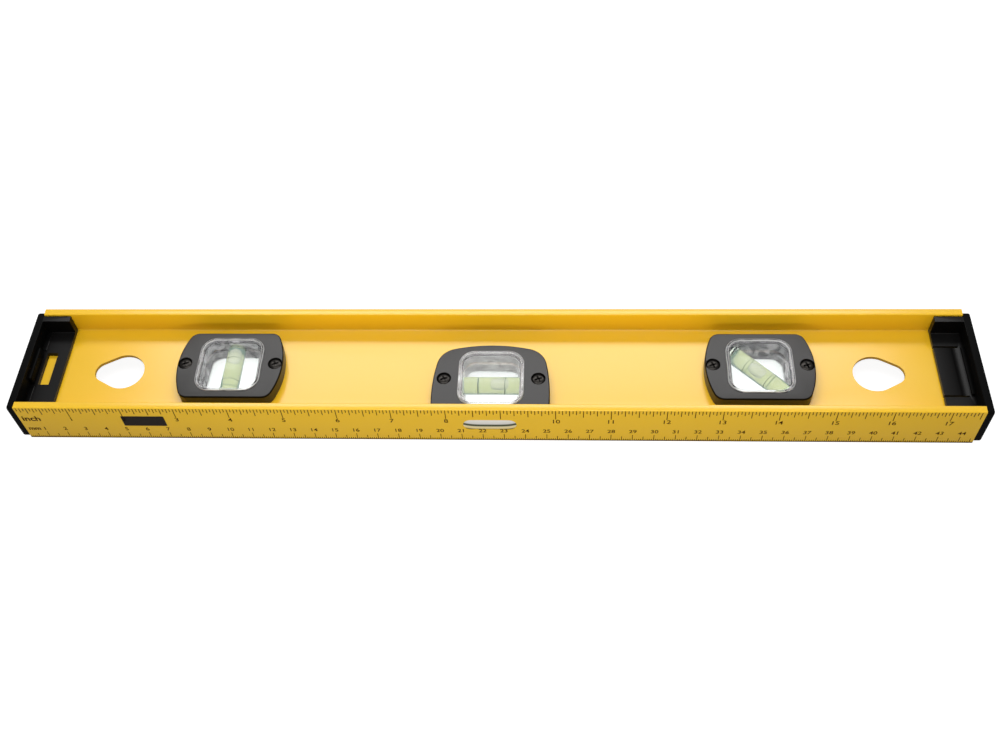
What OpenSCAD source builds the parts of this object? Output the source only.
// I-beam spirit level, lying on its side: web level with the table, ruler flange towards
// -Y, base flange towards +Y. Three vial units sit in windows of the web: plumb,
// level and 45 degree. The bubbles slide along their vials. Millimetres, +Z up.
// The origin is the middle of the footprint: Z = 0 is the plane of the flange edges.

/* [Beam] */
// Length of the extrusion without its end caps
beam_l = 446.2; // [420:0.1:900]
// Height between the two working faces
beam_h = 59.7; // [58:0.1:80]
// Width of the flanges
flange_w = 25.2; // [23:0.1:32]
// Thickness of the flanges
flange_t = 3.7; // [2.5:0.1:5]
// Thickness of the web
web_t = 1.6; // [1.2:0.1:2.4]
// Fillet between web and flange
root_r = 0.8; // [0.4:0.1:1.5]

/* [Hanging holes] */
// Distance of a hole's wide end from the middle of the beam
hang_x = 180.3; // [178:0.1:185]
// Radius of the wide end
hang_r = 10; // [7:0.1:12]
// Radius of the narrow end
hang_tip_r = 6; // [4:0.1:6.5]
// Distance between the centres of the two ends
hang_span = 8.2; // [6.5:0.1:10]

/* [Vial units] */
// Distance of the plumb and the 45 degree unit from the middle
unit_pitch = 126.2; // [115:0.1:135]
// Offset of those two units towards the base
unit_y = -0.4; // [-1:0.1:1]
// Width of a bezel's face beside the lens, towards the ends of the beam
bezel_side = 10.1; // [9.5:0.1:12]
// The same for the level bezel
level_bezel_side = 12.3; // [10.5:0.1:14]
// Wall of the level bezel between its lens and the ruler flange
level_wall = 1.2; // [0.8:0.1:2]
// Height of a bezel's face above the middle of the web
bezel_rise = 7.5; // [7:0.1:8.5]
// Width of the bezel's face beside the lens, towards the flanges
bezel_rim = 3.6; // [2.6:0.1:4]
// The same for the level bezel, at the top of its crown
level_rim = 4.1; // [3:0.1:5]
// Radius of the bowed ends of a bezel
bow_r = 42; // [38:1:60]
// The same for the level bezel
level_bow_r = 94; // [60:1:200]
// Corner radius of the plumb and the 45 degree bezel
bezel_corner_r = 5; // [3:0.1:7]
// Corner radius of the level bezel
level_corner_r = 10.7; // [6:0.1:12]
// Radius of the crowned edge of the level bezel
crown_r = 77; // [60:1:200]
// Rounding of a bezel's outer edge
bezel_edge = 0.6; // [0.4:0.1:1.5]
// Wall of the moulded bezel
bezel_wall = 1.8; // [1.5:0.1:2.2]

/* [Lenses] */
// Side of the square lens
lens_w = 31; // [30:0.1:31.5]
// Corner radius of the lens
lens_r = 7.5; // [6:0.1:9]
// Height of a lens face above the middle of the web
lens_rise = 8.3; // [7.9:0.1:9]
// Thickness of the window of a lens
lens_t = 1.8; // [1.2:0.1:2.2]
// Thickness of the skirt of a lens
skirt_t = 1.4; // [1:0.1:1.8]
// Width of the raised rim on a lens face
lens_rim_w = 1.1; // [0.8:0.1:1.6]
// Height of that rim
lens_rim_h = 0.4; // [0.2:0.1:0.6]
// Width of the lip that the bezel holds down
lip_w = 1.3; // [0.8:0.1:1.4]
// Thickness of that lip
lip_t = 1.2; // [0.8:0.1:1.5]

/* [Reading slot] */
// Length of the slot through the ruler flange
slot_l = 25; // [20:0.1:28]
// Height of the slot
slot_h = 7.8; // [6:0.1:9]
// Offset of the slot from the middle of the web
slot_z = 0.5; // [0:0.1:1]
// How far the slot's window lies below the ruler face
slot_window_sink = 0.2; // [0:0.1:0.6]

/* [Vials] */
// Outer diameter of a vial
vial_d = 9; // [8:0.1:9.4]
// Bore of a vial
vial_bore_d = 6.6; // [6:0.1:7]
// Thickness of a vial's closed end, and of the plug in its other end
vial_end_t = 2; // [1.5:0.1:2.5]
// Distance between the two ring lines
ring_pitch = 13; // [11:0.1:14]
// Width of a ring line
ring_w = 0.5; // [0.3:0.1:0.8]
// Thickness of a ring line
ring_t = 0.06; // [0.04:0.01:0.15]
// Diameter of a bubble
bubble_d = 4.5; // [3.5:0.1:4.8]
// Length of a bubble
bubble_l = 8.5; // [6:0.1:10]
// Where the level bubble rests, as a share of its travel, towards the right end
level_bubble_share = 0.46; // [-1:0.01:1]
// Where the plumb bubble rests, as a share of its travel, towards the base
plumb_bubble_share = 0.93; // [-1:0.01:1]
// Where the 45 degree bubble rests, as a share of its travel, towards the ruler flange
angle_bubble_share = -0.09; // [-1:0.01:1]

/* [Screws] */
// Distance of a screw from the end of the plumb or the 45 degree bezel
screw_edge = 3.7; // [3.6:0.1:5]
// The same for the level bezel
level_screw_edge = 5.5; // [3.6:0.1:7]
// Offset of the plumb and 45 degree screws from the middle of the lens, towards the base
screw_y = 0.7; // [0:0.1:1.5]
// The same for the level unit's screws
level_screw_y = -0.2; // [-1.2:0.1:0.8]
// Diameter of a screw's shank
screw_d = 3; // [2.5:0.1:3.2]
// Diameter of a screw's head
screw_head_d = 6.2; // [5.4:0.1:6.3]
// Height of a screw's head
screw_head_h = 2; // [1.5:0.1:2.2]
// Depth of the screw's tip below the middle of the web
screw_reach = 5.8; // [4:0.1:6]
// Width of one arm of the cross recess
recess_w = 0.9; // [0.6:0.1:1.1]
// Span of the cross recess
recess_l = 3.6; // [2.8:0.1:4]
// Depth of the cross recess
recess_deep = 1.3; // [0.8:0.1:1.5]

/* [End caps] */
// Thickness of a cap's end plate
cap_t = 3.8; // [2.5:0.1:5]
// How far the end plate stays inside the working faces
cap_inset_y = 1.9; // [1:0.1:3]
// How far the end plate stays inside the flange edges
cap_inset_z = 0.7; // [0.4:0.1:1.5]
// Corner radius of the end plate
cap_corner_r = 1.6; // [1:0.1:3]
// Length of the plug that reaches into the beam
plug_l = 13.6; // [10:0.1:16]
// Thickness of the plug's floor
plug_floor_t = 2.2; // [1.6:0.1:3]
// Thickness of the plug's side walls
plug_wall_t = 3.3; // [2:0.1:3.5]
// Height above the web of the wall beside the ruler flange; the other one is full height
plug_low_wall = 4.6; // [3:0.1:8]
// Length of the window in the plug's floor, across the beam
cap_slot_l = 19; // [12:0.1:22]
// Width of that window
cap_slot_w = 5.3; // [4:0.1:6]
// Distance of that window from the end plate
cap_slot_x = 3.1; // [2.5:0.1:4]
// Width of the spring tongue on the other side
tongue_w = 28.5; // [22:0.1:32]
// Width of the slits beside the tongue
slit_w = 0.9; // [0.6:0.1:1.2]
// Length of the slits
slit_l = 11.4; // [8:0.1:12]
// Depth of the groove across the tongue
groove_deep = 0.6; // [0.3:0.1:1]
// Distance of the groove's middle from the end plate
groove_x = 4.8; // [4.2:0.1:6]

/* [Clearances] */
// Between a lens and the bezel or the web around it
lens_gap = 0.1; // [0.05:0.01:0.2]
// Between a vial and its saddles
vial_gap = 0.05; // [0.03:0.01:0.1]
// Between a vial's ends and the edge of the web's window
vial_end_gap = 0.2; // [0.1:0.05:0.4]
// Radial, between a screw's shank and its hole in the back bezel
screw_gap = 0.05; // [0.02:0.01:0.1]
// Between a screw's head and its counterbore
head_gap = 0.2; // [0.15:0.05:0.3]
// Radial, between the liquid or a plug and the vial's bore
bore_gap = 0.02; // [0.01:0.01:0.04]
// Between a bubble and what is around it
bubble_gap = 0.3; // [0.25:0.01:0.4]
// Between a cap's plug and the flanges
plug_gap = 0.3; // [0.2:0.05:0.5]
// Between flat faces that slide together
slip_gap = 0.05; // [0.03:0.01:0.1]

/* [Hidden] */

round_fn = 96;
corner_fn = 40;
arc_fn = 200;
eps = 0.01;

mid_z = flange_w / 2;
face_y = beam_h / 2;
flange_y = face_y - flange_t;
web_z = web_t / 2;
// Clear of both faces of anything that is cut right through
past = 1;

// Turn of each vial about Z: the level one lies along X, the plumb one along Y
plumb_turn = 90;
level_turn = 0;
angle_turn = -45;

lens_far = lens_w / 2;
bezel_far = lens_far + bezel_rim;
bezel_w = lens_w + 2 * bezel_side;
level_bezel_w = lens_w + 2 * level_bezel_side;
// The level bezel runs up to the inside of the ruler flange
level_near = lens_far + lens_gap + lip_w + level_wall;
level_y = level_near + slip_gap - flange_y;
level_far = lens_far + level_rim;
vial_r = vial_d / 2;
// A vial fills the web's window: straight across it, or from corner to corner
vial_l = lens_w + 2 * lens_gap - 2 * vial_end_gap;
window_corner_r = lens_r + lens_gap;
angle_vial_l = 2 * ((lens_far - lens_r) * sqrt(2) - vial_end_gap
    + sqrt(window_corner_r * window_corner_r - vial_r * vial_r));
bore_r = vial_bore_d / 2;
bubble_r = bubble_d / 2;
// The bubble lies against the top of the bore
bubble_z = bore_r - bubble_r - bubble_gap;
head_z = bezel_rise - head_gap - screw_head_h;
boss_r = screw_head_d / 2 + head_gap + 1.2;

// How far a bubble can go to either side of the middle of its vial
function bubble_travel(l) = l / 2 - vial_end_t - bore_gap - 2 * bubble_gap - bubble_l / 2;
// Place of a unit's right-hand screw; turn_y is -1 for the level unit and 1 for the others
function screw_place(turn_y) = turn_y > 0
    ? [bezel_w / 2 - screw_edge, screw_y]
    : [level_bezel_w / 2 - level_screw_edge, level_screw_y];

module screw_places(turn_y) {
    for (s = [-1, 1]) translate([s * screw_place(turn_y).x, screw_place(turn_y).y, 0]) children();
}

// ---------------------------------------------------------------- flat shapes

module rounded_rect(w, h, r) {
    square([w - 2 * r, h], center = true);
    square([w, h - 2 * r], center = true);
    for (x = [-1, 1], y = [-1, 1])
        translate([x * (w / 2 - r), y * (h / 2 - r)]) circle(r, $fn = round_fn);
}

module stadium(l, h) {
    square([l - h, h], center = true);
    for (x = [-1, 1]) translate([x * (l - h) / 2, 0]) circle(d = h, $fn = round_fn);
}

// Two circles and the straight flanks between them, a hair inside the tangents so that
// they cross both circles cleanly
module teardrop(big_r, small_r, span) {
    touch = acos((big_r - small_r) / span);
    big_in = big_r - eps;
    small_in = small_r - eps;
    circle(big_r, $fn = round_fn);
    translate([span, 0]) circle(small_r, $fn = round_fn);
    polygon([
        [big_in * cos(touch), big_in * sin(touch)],
        [span + small_in * cos(touch), small_in * sin(touch)],
        [span + small_in * cos(touch), -small_in * sin(touch)],
        [big_in * cos(touch), -big_in * sin(touch)]
    ]);
}

// Section of the beam in the YZ plane, drawn with Y across and Z up
module beam_section() {
    difference() {
        square([beam_h, flange_w], center = true);
        for (z = [-1, 1]) translate([0, z * (web_z + flange_w / 2)])
            difference() {
                square([2 * flange_y, flange_w], center = true);
                for (y = [-1, 1]) scale([y, z]) translate([flange_y, -flange_w / 2]) difference() {
                    square(2 * root_r, center = true);
                    translate([-root_r, root_r]) circle(root_r, $fn = round_fn);
                }
            }
    }
}

// Shape between two large arcs, the bowed ends of a bezel
module bowed(w, r) {
    intersection() {
        translate([r - w / 2, 0]) circle(r, $fn = arc_fn);
        translate([w / 2 - r, 0]) circle(r, $fn = arc_fn);
    }
}

// Bezel of the plumb and the 45 degree unit: straight edges, bowed ends, rounded corners
module barrel_outline(inset = 0) {
    offset(delta = -inset) offset(r = bezel_corner_r, $fn = corner_fn) offset(delta = -bezel_corner_r)
        intersection() {
            square([bezel_w, 2 * bezel_far], center = true);
            bowed(bezel_w, bow_r);
        }
}

// Bezel of the level unit: crowned towards the base, widest half way down from the lens's
// middle, and cut straight by the ruler flange
module crowned_outline(inset = 0) {
    offset(delta = -inset) intersection() {
        offset(r = level_corner_r, $fn = corner_fn) offset(delta = -level_corner_r) intersection() {
            translate([0, -level_near / 2]) bowed(level_bezel_w, level_bow_r);
            translate([0, level_far - crown_r]) circle(crown_r, $fn = 2 * arc_fn);
            translate([-bezel_w, -2 * level_near]) square([2 * bezel_w, 4 * level_near]);
        }
        translate([-bezel_w, -level_near]) square([2 * bezel_w, 4 * level_near]);
    }
}

module bezel_outline(crowned, inset = 0) {
    if (crowned) crowned_outline(inset);
    else barrel_outline(inset);
}

// ---------------------------------------------------------------- beam

// A window of the web, just wide enough for a vial unit's lenses
module web_window(x, y, turn_y) {
    translate([x, y, 0]) {
        linear_extrude(web_t + 2 * past, center = true)
            rounded_rect(lens_w + 2 * lens_gap, lens_w + 2 * lens_gap, lens_r + lens_gap);
        screw_places(turn_y)
            cylinder(h = web_t + 2 * past, d = screw_d + 2 * head_gap, center = true, $fn = round_fn);
    }
}

module beam() {
    color("#e8b422") translate([0, 0, mid_z]) difference() {
        rotate([90, 0, 90]) linear_extrude(beam_l, center = true) beam_section();
        for (s = [-1, 1]) scale([s, 1, 1]) translate([hang_x, 0, 0])
            linear_extrude(web_t + 2 * past, center = true) teardrop(hang_r, hang_tip_r, hang_span);
        web_window(-unit_pitch, unit_y, 1);
        web_window(0, level_y, -1);
        web_window(unit_pitch, unit_y, 1);
        // milled through the flange and just into the web's edge
        translate([0, -flange_y + past, slot_z]) rotate([90, 0, 0])
            linear_extrude(flange_t + 2 * past) stadium(slot_l, slot_h);
    }
}

// ---------------------------------------------------------------- end caps

// The plug's tray on one face of the web, for the left end, drawn on the +Z face
module plug_tray(has_tongue) {
    wall_y = flange_y - plug_gap;
    floor_z = web_z + slip_gap;
    top_z = mid_z - cap_inset_z;
    end_x = -beam_l / 2;
    relief = root_r + plug_gap;
    difference() {
        translate([end_x - eps, -wall_y, floor_z]) cube([plug_l + eps, 2 * wall_y, top_z - floor_z]);
        translate([end_x - 2 * eps, -wall_y + plug_wall_t, floor_z + plug_floor_t])
            cube([plug_l + past, 2 * (wall_y - plug_wall_t), top_z]);
        // the wall beside the ruler flange is low
        translate([end_x, -wall_y - past, floor_z + plug_low_wall])
            cube([plug_l + past, plug_wall_t + 2 * past, top_z]);
        // room for the fillets between web and flanges
        for (y = [-1, 1]) translate([end_x - past, y * wall_y, floor_z]) rotate([45, 0, 0])
            translate([0, -relief / 2, -relief / 2]) cube([plug_l + 2 * past, relief, relief]);
        if (has_tongue) {
            for (y = [-1, 1]) translate([end_x + plug_l - slit_l, y * tongue_w / 2 - slit_w / 2, 0])
                cube([slit_l + past, slit_w, floor_z + plug_floor_t + past]);
            translate([end_x + groove_x, 0, floor_z + plug_floor_t + 2 - groove_deep])
                rotate([90, 0, 0]) cylinder(h = tongue_w - slit_w, r = 2, center = true, $fn = round_fn);
        } else {
            translate([end_x + cap_slot_x, -cap_slot_l / 2, 0])
                cube([cap_slot_w, cap_slot_l, floor_z + plug_floor_t + past]);
        }
    }
    // pad that stiffens the end plate behind the window
    if (!has_tongue) translate([end_x - eps, -cap_slot_l / 2, floor_z])
        cube([cap_slot_x / 2, cap_slot_l, plug_floor_t + 5]);
}

module left_cap_body() {
    plate_h = beam_h - 2 * cap_inset_y;
    plate_w = flange_w - 2 * cap_inset_z;
    bevel = cap_t / 4;
    translate([-beam_l / 2 - cap_t + bevel, 0, 0]) rotate([90, 0, 90])
        linear_extrude(cap_t - bevel) rounded_rect(plate_h, plate_w, cap_corner_r);
    hull() {
        translate([-beam_l / 2 - cap_t, 0, 0]) rotate([90, 0, 90]) linear_extrude(eps)
            rounded_rect(plate_h - 2 * bevel, plate_w - 2 * bevel, cap_corner_r - bevel / 2, $fn = 32);
        translate([-beam_l / 2 - cap_t + bevel, 0, 0]) rotate([90, 0, 90]) linear_extrude(eps)
            rounded_rect(plate_h, plate_w, cap_corner_r, $fn = 32);
    }
    plug_tray(false);
    mirror([0, 0, 1]) plug_tray(true);
}

module left_end_cap() {
    color("#1d1c1b") translate([0, 0, mid_z]) left_cap_body();
}

// The same moulding, turned end for end
module right_end_cap() {
    color("#1d1c1b") translate([0, 0, mid_z]) rotate([0, 180, 0]) left_cap_body();
}

// ---------------------------------------------------------------- vial units

// Each unit is drawn about the middle of its lens, with Z = 0 in the middle of the web
module at_plumb() { translate([-unit_pitch, unit_y, mid_z]) children(); }
module at_level() { translate([0, level_y, mid_z]) children(); }
module at_angle() { translate([unit_pitch, unit_y, mid_z]) children(); }

// Space under the bezel's face, between its outer wall, the wall round the lens and the bosses
module bezel_hollow(crowned, turn_y) {
    lens_wall = lens_w + 2 * (lens_gap + lip_w + bezel_wall);
    difference() {
        bezel_outline(crowned, bezel_wall);
        square([lens_wall, 4 * bezel_far], center = true);
        screw_places(turn_y) circle(boss_r, $fn = corner_fn);
    }
}

// Moulded bezel on the +Z face; the back one is its mirror image with blind screw holes
module bezel(crowned, turn_y, front) {
    hole_w = lens_w + 2 * lens_gap;
    difference() {
        hull() {
            translate([0, 0, web_z]) linear_extrude(bezel_rise - web_z - bezel_edge)
                bezel_outline(crowned);
            translate([0, 0, web_z]) linear_extrude(bezel_rise - web_z - bezel_edge * 0.3)
                bezel_outline(crowned, bezel_edge * 0.3);
            translate([0, 0, web_z]) linear_extrude(bezel_rise - web_z)
                bezel_outline(crowned, bezel_edge);
        }
        translate([0, 0, -past]) linear_extrude(bezel_rise + 2 * past)
            rounded_rect(hole_w, hole_w, lens_r + lens_gap);
        // pocket for the lens's lip
        translate([0, 0, -past]) linear_extrude(past + web_z + lip_t + lens_gap)
            rounded_rect(hole_w + 2 * lip_w, hole_w + 2 * lip_w, lens_r + lip_w + lens_gap);
        translate([0, 0, -past]) linear_extrude(past + bezel_rise - bezel_wall)
            bezel_hollow(crowned, turn_y);
        screw_places(turn_y) {
            if (front) {
                cylinder(h = bezel_rise + past, d = screw_d + 2 * head_gap, $fn = round_fn);
                translate([0, 0, head_z])
                    cylinder(h = bezel_rise, d = screw_head_d + 2 * head_gap, $fn = round_fn);
            } else {
                cylinder(h = screw_reach + head_gap, r = screw_d / 2 + screw_gap, $fn = round_fn);
            }
        }
        // room for the fillet between web and flange
        if (crowned) translate([-bezel_w, -level_near - past, 0])
            cube([2 * bezel_w, past + root_r, web_z + root_r]);
        // gateway through which the slot in the ruler flange shows the vial
        if (crowned) translate([-slot_l / 2, -bezel_far - past, -past])
            cube([slot_l, bezel_far - lens_far + past + lens_r, past + slot_z + slot_h / 2 + lens_gap]);
    }
}

module front_bezel(crowned, turn_y) {
    color("#4f4b4b") bezel(crowned, turn_y, true);
}

module back_bezel(crowned, turn_y) {
    color("#4f4b4b") mirror([0, 0, 1]) bezel(crowned, turn_y, false);
}

// Clear moulded tray: window, raised rim, skirt, lip, and half-round saddles for the vial
module lens(turn) {
    inner_w = lens_w - 2 * skirt_t;
    color("#dfe6e2", 0.35) difference() {
        union() {
            translate([0, 0, web_z]) linear_extrude(lens_rise - web_z)
                rounded_rect(lens_w, lens_w, lens_r);
            translate([0, 0, web_z]) linear_extrude(lip_t)
                rounded_rect(lens_w + 2 * lip_w, lens_w + 2 * lip_w, lens_r + lip_w);
        }
        translate([0, 0, -past]) linear_extrude(past + lens_rise - lens_rim_h - lens_t)
            rounded_rect(inner_w, inner_w, lens_r - skirt_t);
        translate([0, 0, lens_rise - lens_rim_h]) linear_extrude(past)
            rounded_rect(lens_w - 2 * lens_rim_w, lens_w - 2 * lens_rim_w, lens_r - lens_rim_w);
        rotate([0, 90, turn])
            cylinder(h = 2 * lens_w, r = vial_r + vial_gap, center = true, $fn = round_fn);
    }
}

module back_lens(turn) {
    mirror([0, 0, 1]) lens(turn);
}

// Acrylic tube, closed at one end
module vial(turn, l) {
    color("#d9e6c4", 0.4) rotate([0, 90, turn]) difference() {
        cylinder(h = l, r = vial_r, center = true, $fn = round_fn);
        translate([0, 0, -l / 2 + vial_end_t]) cylinder(h = l, r = bore_r, $fn = round_fn);
    }
}

// Plug that seals the vial's other end
module vial_plug(turn, l) {
    color("#cfd8bf", 0.6) rotate([0, 90, turn]) translate([0, 0, l / 2 - vial_end_t])
        cylinder(h = vial_end_t, r = bore_r - bore_gap, $fn = round_fn);
}

module ring_lines(turn) {
    color("#2b2b28") rotate([0, 90, turn]) for (s = [-1, 1]) translate([0, 0, s * ring_pitch / 2])
        difference() {
            cylinder(h = ring_w, r = vial_r + ring_t, center = true, $fn = round_fn);
            cylinder(h = ring_w + past, r = vial_r, center = true, $fn = round_fn);
        }
}

// Liquid, left open along its upper side where the bubble travels
module liquid(turn, l) {
    inner_l = l - 2 * vial_end_t - 2 * bore_gap;
    track_r = bubble_r + bubble_gap;
    color("#c8e05a", 0.6) difference() {
        rotate([0, 90, turn]) cylinder(h = inner_l, r = bore_r - bore_gap, center = true, $fn = round_fn);
        rotate([0, 0, turn]) {
            translate([0, 0, bubble_z]) rotate([0, 90, 0])
                cylinder(h = inner_l - 2 * bubble_gap, r = track_r, center = true, $fn = round_fn);
            translate([0, 0, bubble_z + bore_r])
                cube([inner_l - 2 * bubble_gap, 2 * track_r, 2 * bore_r], center = true);
        }
    }
}

module bubble(turn, l, share) {
    color("#eef4e4", 0.5) rotate([0, 0, turn])
        translate([share * bubble_travel(l), 0, bubble_z]) rotate([0, 90, 0])
            rotate_extrude($fn = round_fn) intersection() {
                rotate(90) stadium(bubble_l, bubble_d);
                translate([0, -bubble_l]) square([bubble_d, 2 * bubble_l]);
            }
}

// Pan-head screw with a cross recess, from the front bezel into the back one
module screw() {
    difference() {
        union() {
            translate([0, 0, head_z]) cylinder(h = screw_head_h, d = screw_head_d, $fn = round_fn);
            translate([0, 0, -screw_reach])
                cylinder(h = screw_reach + head_z + eps, d = screw_d, $fn = round_fn);
        }
        for (a = [0, 90]) rotate([0, 0, a]) translate([0, 0, head_z + screw_head_h])
            cube([recess_l, recess_w, 2 * recess_deep], center = true);
    }
}

module screws(turn_y) {
    color("#161616") screw_places(turn_y) screw();
}

module plumb_front_bezel() { at_plumb() front_bezel(false, 1); }
module plumb_back_bezel() { at_plumb() back_bezel(false, 1); }
module plumb_front_lens() { at_plumb() lens(plumb_turn); }
module plumb_back_lens() { at_plumb() back_lens(plumb_turn); }
module plumb_vial() { at_plumb() vial(plumb_turn, vial_l); }
module plumb_vial_plug() { at_plumb() vial_plug(plumb_turn, vial_l); }
module plumb_ring_lines() { at_plumb() ring_lines(plumb_turn); }
module plumb_liquid() { at_plumb() liquid(plumb_turn, vial_l); }
module plumb_bubble() { at_plumb() bubble(plumb_turn, vial_l, plumb_bubble_share); }
module plumb_screws() { at_plumb() screws(1); }

module level_front_bezel() { at_level() front_bezel(true, -1); }
module level_back_bezel() { at_level() back_bezel(true, -1); }
module level_front_lens() { at_level() lens(level_turn); }
module level_back_lens() { at_level() back_lens(level_turn); }
module level_vial() { at_level() vial(level_turn, vial_l); }
module level_vial_plug() { at_level() vial_plug(level_turn, vial_l); }
module level_ring_lines() { at_level() ring_lines(level_turn); }
module level_liquid() { at_level() liquid(level_turn, vial_l); }
module level_bubble() { at_level() bubble(level_turn, vial_l, level_bubble_share); }
module level_screws() { at_level() screws(-1); }

// Clear window that fills the slot in the ruler flange
module level_slot_window() {
    depth = flange_t - slot_window_sink;
    color("#dfe6e2", 0.35) translate([0, -flange_y - depth / 2, mid_z + slot_z]) rotate([90, 0, 0])
        linear_extrude(depth, center = true) stadium(slot_l - 2 * slip_gap, slot_h - 2 * slip_gap);
}

module angle_front_bezel() { at_angle() front_bezel(false, 1); }
module angle_back_bezel() { at_angle() back_bezel(false, 1); }
module angle_front_lens() { at_angle() lens(angle_turn); }
module angle_back_lens() { at_angle() back_lens(angle_turn); }
module angle_vial() { at_angle() vial(angle_turn, angle_vial_l); }
module angle_vial_plug() { at_angle() vial_plug(angle_turn, angle_vial_l); }
module angle_ring_lines() { at_angle() ring_lines(angle_turn); }
module angle_liquid() { at_angle() liquid(angle_turn, angle_vial_l); }
module angle_bubble() { at_angle() bubble(angle_turn, angle_vial_l, angle_bubble_share); }
module angle_screws() { at_angle() screws(1); }

beam();
left_end_cap();
right_end_cap();
plumb_front_bezel();
plumb_back_bezel();
plumb_front_lens();
plumb_back_lens();
plumb_vial();
plumb_vial_plug();
plumb_ring_lines();
plumb_liquid();
plumb_bubble();
plumb_screws();
level_front_bezel();
level_back_bezel();
level_front_lens();
level_back_lens();
level_vial();
level_vial_plug();
level_ring_lines();
level_liquid();
level_bubble();
level_screws();
level_slot_window();
angle_front_bezel();
angle_back_bezel();
angle_front_lens();
angle_back_lens();
angle_vial();
angle_vial_plug();
angle_ring_lines();
angle_liquid();
angle_bubble();
angle_screws();
